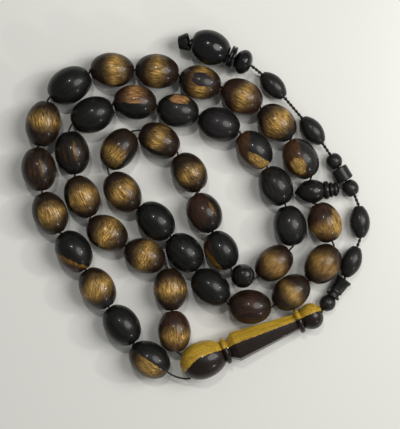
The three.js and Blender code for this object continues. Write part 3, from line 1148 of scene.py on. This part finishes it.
@dataclass
class Tail:
    """The small pieces strung on the tail, from the leader to the end cap."""

    vase_place: Place = Place((42.9, -28.0, 2.75), 54.5)
    olive_places: tuple[Place, ...] = (
        Place((48.3, -17.8, 3.15), 68.0),
        Place((51.0, -5.3, 3.15), 93.0),
        Place((36.1, 23.3, 3.15), 129.0),
        Place((23.8, 37.4, 3.15), 134.0),
    )
    barrel_place: Place = Place((45.5, 9.6, 2.75), 121.0)
    oval_place: Place = Place((4.05, 49.0, 5.7), 157.0, 4.0)
    cap_place: Place = Place((-2.7, 50.85, 5.4), 186.0, -10.0)
    bore: float = 1.6
    vase_length: float = 11.6
    olive_length: float = 10.0
    first_ball_length: float = 5.0
    barrel_length: float = 4.5
    second_ball_length: float = 4.6
    end_ball_length: float = 5.4
    end_ring_length: float = 1.8
    oval_length: float = 12.2
    cap_length: float = 3.0
    seat_depth: float = 2.5
    knot_length: float = 1.6
    touch: float = 0.3

    @property
    def first_ball_place(self) -> Place:
        """Give where the ball before the barrel lies."""
        return self.barrel_place.moved(-(self.barrel_length + self.first_ball_length) / 2 - self.touch)

    @property
    def second_ball_place(self) -> Place:
        """Give where the ball after the barrel lies."""
        return self.barrel_place.moved((self.barrel_length + self.second_ball_length) / 2 + self.touch)

    @property
    def end_ring_place(self) -> Place:
        """Give where the end ring lies."""
        return self.oval_place.moved(-(self.oval_length + self.end_ring_length) / 2 - self.touch)

    @property
    def end_ball_place(self) -> Place:
        """Give where the end ball lies."""
        return self.end_ring_place.moved(-(self.end_ring_length + self.end_ball_length) / 2 - self.touch)

    @property
    def knot_place(self) -> Place:
        """Give where the end knot sits in the cap."""
        return self.cap_place.moved(self.seat_depth - 0.25 - self.knot_length / 2)

    def vase(self) -> Outline:
        """Give the outline of ball, flange and flared cup."""
        half = self.vase_length / 2
        return bored([
            (-half, 1.35),
            *swell(-half + 2.4, 2.6, 2.6, -half + 0.25, -half + 4.7, 14),
            *ring_outline(-half + 4.75, -half + 5.75, 4.7, 3.6, 8),
            (-half + 6.1, 1.72),
            (-half + 6.5, 1.75),
            *ring_outline(-half + 6.6, -half + 7.3, 4.3, 3.7, 6)[:-1],
            (-half + 7.4, 2.05),
            (half - 1.2, 2.35),
            (half - 0.8, 2.62),
            (half - 0.2, 2.65),
            (half, 2.5),
        ], self.bore)

    def barrel(self) -> Outline:
        """Give the outline of the straight barrel."""
        half = self.barrel_length / 2
        return bored([(-half, 2.4), (-half + 0.3, 2.7), (half - 0.3, 2.7), (half, 2.4)], self.bore)

    def end_ring(self) -> Outline:
        """Give the outline of the double-ridged ring."""
        half = self.end_ring_length / 2
        return bored([
            *ring_outline(-half, -0.02, 7.2, 6.0, 8),
            *ring_outline(0.02, half, 7.2, 6.0, 8),
        ], self.bore)

    def cap(self) -> Outline:
        """Give the outline of the end cap, with its dished mouth and blind seat."""
        end = self.cap_length
        return [
            (self.seat_depth, 0.0), (self.seat_depth, 1.4), (0.9, 1.4), (0.0, 2.7), (0.06, 2.84),
            (0.2, 2.9), (end - 0.25, 2.23), (end - 0.08, 2.15), (end, 2.03), (end, 0.0),
        ]

    def knot(self) -> Outline:
        """Give the outline of the end knot, two turns of cord drawn tight."""
        half = self.knot_length / 2
        return [
            (-half, 0.0),
            *ring_outline(-half, -0.02, 2.1, 1.0, 8),
            *ring_outline(0.02, half, 2.1, 1.0, 8),
            (half, 0.0),
        ]

    def build(self) -> None:
        """Turn and dress the tail."""
        satin = BlackWood((0.0080, 0.0080, 0.0074), 0.36, 0.24).material("tail_wood")
        gloss = BlackWood((0.0056, 0.0062, 0.0060), 0.16, 0.04).material("end_oval_wood")
        olive = oval_outline(self.olive_length, 6.4, 2.3, self.bore, 0.75)
        first_ball = oval_outline(self.first_ball_length, 5.3, 2.4, self.bore)
        second_ball = oval_outline(self.second_ball_length, 5.1, 2.4, self.bore)
        pieces = [("tail_vase", self.vase(), self.vase_place)]
        pieces += [(f"tail_olive_{i}", olive, place) for i, place in enumerate(self.olive_places, 1)]
        pieces += [
            ("tail_ball_1", first_ball, self.first_ball_place),
            ("tail_barrel", self.barrel(), self.barrel_place),
            ("tail_ball_2", second_ball, self.second_ball_place),
            ("end_ball", oval_outline(self.end_ball_length, 7.9, 2.8, self.bore), self.end_ball_place),
            ("end_ring", self.end_ring(), self.end_ring_place),
            ("end_oval", oval_outline(self.oval_length, 10.8, 4.8, self.bore), self.oval_place),
            ("end_cap", self.cap(), self.cap_place),
        ]
        for name, outline, place in pieces:
            piece = Lathe(48).piece(f"{name}_turned", outline, place)
            finish = gloss if name in {"end_oval", "end_cap", "end_ball", "end_ring"} else satin
            dress(piece, finish, body_of(name), name)
            LOG.info("%s turned", name)
        knot = Lathe(24).piece("end_knot_tied", self.knot(), self.knot_place)
        finish = CordFinish().material("knot_cord")
        dress(knot, finish, ROOT_BODY, "end_knot")


# ---------------------------------------------------------------- cords


@dataclass
class Cords:
    """The loop's single strand and the tail's two twisted strands."""

    beads: LoopBeads
    separators: Separators
    leader: Leader
    tail: Tail
    loop_diameter: float = 0.6
    tail_diameter: float = 1.0
    join_gap: float = 0.9
    twist_pitch: float = 2.6

    @staticmethod
    def through(place: Place, length: float) -> list[Vector]:
        """Give the two ends of a piece's bore, in the order that the cord runs."""
        return [place.along(-length / 2), place.along(length / 2)]

    def loop_route(self) -> list[Vector]:
        """Give the points of the loop's cord, from the leader's near hole to its far hole."""
        crossing = self.leader.place.along(self.leader.cross_at)
        across = Place(tuple(crossing), self.leader.place.turn + 90)
        runs = [self.through(bead.place, bead.length) for bead in self.beads.beads]
        crossings = [
            self.through(Place(place.at, place.turn - 90), self.separators.width - 0.2)
            for place in self.separators.places
        ]
        second = FIRST_RUN + SECOND_RUN
        points = [across.along(-self.join_gap), across.along(-4.0)]
        points += [Vector(p) for p in ((-4.0, -54.3, 5.2), (-6.2, -53.9, 4.6), (-8.1, -53.0, 5.2))]
        for run in [*runs[:FIRST_RUN], crossings[0], *runs[FIRST_RUN:second], crossings[1], *runs[second:]]:
            points += run
        return points + [across.along(4.0), across.along(self.join_gap)]

    def tail_route(self) -> list[Vector]:
        """Give the points of the tail's cord, from the leader to the end knot."""
        tail = self.tail
        points = [
            self.leader.place.along(self.leader.cross_at + self.join_gap),
            self.leader.place.along(self.leader.length),
            *self.through(tail.vase_place, tail.vase_length),
            *self.through(tail.olive_places[0], tail.olive_length),
            *self.through(tail.olive_places[1], tail.olive_length),
            tail.first_ball_place.along(-tail.first_ball_length / 2),
            tail.second_ball_place.along(tail.second_ball_length / 2),
            *self.through(tail.olive_places[2], tail.olive_length),
            *self.through(tail.olive_places[3], tail.olive_length),
            tail.end_ball_place.along(-tail.end_ball_length / 2),
            tail.oval_place.along(tail.oval_length / 2),
            tail.cap_place.along(tail.seat_depth - 0.25 - tail.knot_length - tail.touch),
        ]
        return points

    @staticmethod
    def smoothed(points: list[Vector], spacing: float) -> list[Vector]:
        """Round the corners of a route and even out its points.

        Args:
            points: the corners of the route, in millimetres.
            spacing: about how far apart the new points are, in millimetres.

        Returns:
            The new points, which start and end where the route does.
        """
        dense = []
        for low, high in zip(points, points[1:]):
            count = max(2, round((high - low).length / spacing))
            dense += [low.lerp(high, step / count) for step in range(count)]
        dense.append(points[-1])
        for _ in range(2):
            inner = [
                before * 0.25 + here * 0.5 + after * 0.25
                for before, here, after in zip(dense, dense[1:], dense[2:])
            ]
            dense = [dense[0], *inner, dense[-1]]
        return dense

    @staticmethod
    def frames(points: list[Vector]) -> list[tuple[Vector, Vector]]:
        """Give two directions across the route at each point, carried along without twist."""
        found = []
        side = Vector((0.0, 0.0, 1.0))
        for i in range(len(points)):
            ahead = points[min(i + 1, len(points) - 1)] - points[max(i - 1, 0)]
            ahead.normalize()
            side = (side - ahead * side.dot(ahead)).normalized()
            found.append((side, ahead.cross(side)))
        return found

    def strand(
        self, mesh: bmesh.types.BMesh, points: list[Vector], radius: float, sides: int,
        offset: float = 0.0, phase: float = 0.0,
    ) -> None:
        """Add one strand, straight or wound round the route.

        Args:
            mesh: the mesh to add to.
            points: the route, in millimetres.
            radius: the strand's radius.
            sides: how many sides its section has.
            offset: how far from the route the strand winds.
            phase: where its winding starts, in radians.
        """
        travelled = 0.0
        rings = []
        for i, (point, (up, across)) in enumerate(zip(points, self.frames(points))):
            if i:
                travelled += (point - points[i - 1]).length
            wind = phase + 2 * math.pi * travelled / self.twist_pitch
            centre = point + (up * math.cos(wind) + across * math.sin(wind)) * offset
            ring = []
            for side in range(sides):
                angle = 2 * math.pi * side / sides
                spot = centre + (up * math.cos(angle) + across * math.sin(angle)) * radius
                ring.append(mesh.verts.new(spot * MM))
            rings.append(ring)
        for low, high in zip(rings, rings[1:]):
            for side in range(sides):
                other = (side + 1) % sides
                mesh.faces.new((low[side], low[other], high[other], high[side]))
        mesh.faces.new(rings[0])
        mesh.faces.new(rings[-1])

    @staticmethod
    def length_of(points: list[Vector]) -> float:
        """Give the length of a route, in metres."""
        return sum((b - a).length for a, b in zip(points, points[1:])) * MM

    def build(self) -> None:
        """Make and dress both cords."""
        finish = CordFinish()
        loop = self.smoothed(self.loop_route(), 0.5)
        mesh = bmesh.new()
        self.strand(mesh, loop, self.loop_diameter / 2, 10)
        piece = finished(mesh, "loop_cord_strand")
        dress(piece, finish.material("loop_cord_finish"), ROOT_BODY, "loop_cord")
        self.declare(loop, self.loop_diameter)
        tail = self.smoothed(self.tail_route(), 0.3)
        mesh = bmesh.new()
        for phase in (0.0, math.pi):
            self.strand(mesh, tail, self.tail_diameter * 0.29, 8, self.tail_diameter * 0.23, phase)
        piece = finished(mesh, "tail_cord_strands")
        dress(piece, finish.material("tail_cord_finish"), ROOT_BODY, "tail_cord")
        self.declare(tail, self.tail_diameter)

    def declare(self, route: list[Vector], diameter: float) -> None:
        """Work out a cord's route in metres; the result is not kept.

        Args:
            route: the points that it follows, in millimetres.
            diameter: its diameter, in millimetres.
        """
        path = [tuple(point * MM) for point in route]
        diameter * MM


# ---------------------------------------------------------------- table, light and camera


@dataclass(frozen=True)
class Lamp:
    """A round soft lamp aimed at the beads."""

    name: str
    azimuth: float
    height: float
    distance: float
    size: float
    power: float
    colour: Colour = (1.0, 0.985, 0.95)

    def build(self) -> None:
        """Hang the lamp and aim it at the middle of the table."""
        data = bpy.data.lights.new(self.name, "AREA")
        data.shape = "DISK"
        data.size = self.size
        data.energy = self.power
        data.color = self.colour
        lamp = bpy.data.objects.new(self.name, data)
        bpy.context.scene.collection.objects.link(lamp)
        turn = math.radians(self.azimuth)
        rise = math.radians(self.height)
        towards = Vector((math.cos(rise) * math.cos(turn), math.cos(rise) * math.sin(turn), math.sin(rise)))
        lamp.location = towards * self.distance
        lamp.rotation_euler = towards.to_track_quat("Z", "Y").to_euler()


@dataclass
class Studio:
    """The table, the lights and the camera."""

    view_height: float = 0.420
    view_across: float = 0.1340
    aim: tuple[float, float, float] = (0.0009, -0.0030, 0.0050)
    lamps: tuple[Lamp, ...] = (
        Lamp("key", 14.0, 54.0, 0.46, 0.30, 1.42),
        Lamp("ceiling_far", 101.0, 67.0, 1.0, 0.045, 1.5),
        Lamp("ceiling_right", 10.0, 36.0, 1.0, 0.045, 1.2),
        Lamp("ceiling_near", -44.0, 24.0, 1.0, 0.04, 0.8),
    )

    def camera(self) -> None:
        """Hang the camera straight over the beads."""
        data = bpy.data.cameras.new("camera")
        data.sensor_width = 36.0
        data.lens = data.sensor_width * self.view_height / self.view_across
        data.clip_start = 0.01
        camera = bpy.data.objects.new("camera", data)
        bpy.context.scene.collection.objects.link(camera)
        camera.location = Vector(self.aim) + Vector((0.0, 0.0, self.view_height))
        bpy.context.scene.camera = camera

    def table(self) -> None:
        """Lay the table top under the beads."""
        mesh = bmesh.new()
        bmesh.ops.create_grid(mesh, x_segments=8, y_segments=8, size=1.5)
        data = bpy.data.meshes.new("table_top")
        mesh.to_mesh(data)
        mesh.free()
        table = bpy.data.objects.new("table_top", data)
        bpy.context.scene.collection.objects.link(table)
        table.location = (0.0, 0.0, -0.00005)
        table.data.materials.append(TableFinish().material("table_glaze"))

    def light(self) -> None:
        """Hang the lamps and set the soft light of the room."""
        for lamp in self.lamps:
            lamp.build()
        world = bpy.data.worlds.new("room")
        world.use_nodes = True
        background = world.node_tree.nodes["Background"]
        background.inputs["Color"].default_value = (1.0, 0.995, 0.975, 1.0)
        background.inputs["Strength"].default_value = 0.20
        bpy.context.scene.world = world
        bpy.context.scene.view_settings.view_transform = "Standard"


# ---------------------------------------------------------------- the whole string


_RECORD: dict[str, dict[str, str]] = {"slots": {}, "bodies": {}}


def read_record(record: dict) -> None:
    """Keep which slot and which body each node has.

    Args:
        record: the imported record.
    """
    for part in record["subparts"]:
        _RECORD["slots"][part["node"]] = part["material_slot"]
    for body, nodes in record["behaviour"]["bodies"].items():
        for node in nodes:
            _RECORD["bodies"][node] = body


def body_of(node: str) -> str:
    """Give the body that a node moves with."""
    return _RECORD["bodies"][node]


def main() -> None:
    """Build the misbaha and its studio."""
    logging.basicConfig(level=logging.INFO, format="%(name)s: %(message)s")
    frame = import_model()
    read_record(frame["record"])
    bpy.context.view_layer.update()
    studio = Studio()
    studio.camera()
    beads = LoopBeads(frame_beads(frame["nodes"]))
    separators = Separators()
    leader = Leader()
    tail = Tail()
    Cords(beads, separators, leader, tail).build()
    beads.build()
    separators.build()
    leader.build()
    tail.build()
    studio.table()
    studio.light()
    bpy.context.view_layer.update()


if __name__ == "__main__":
    main()
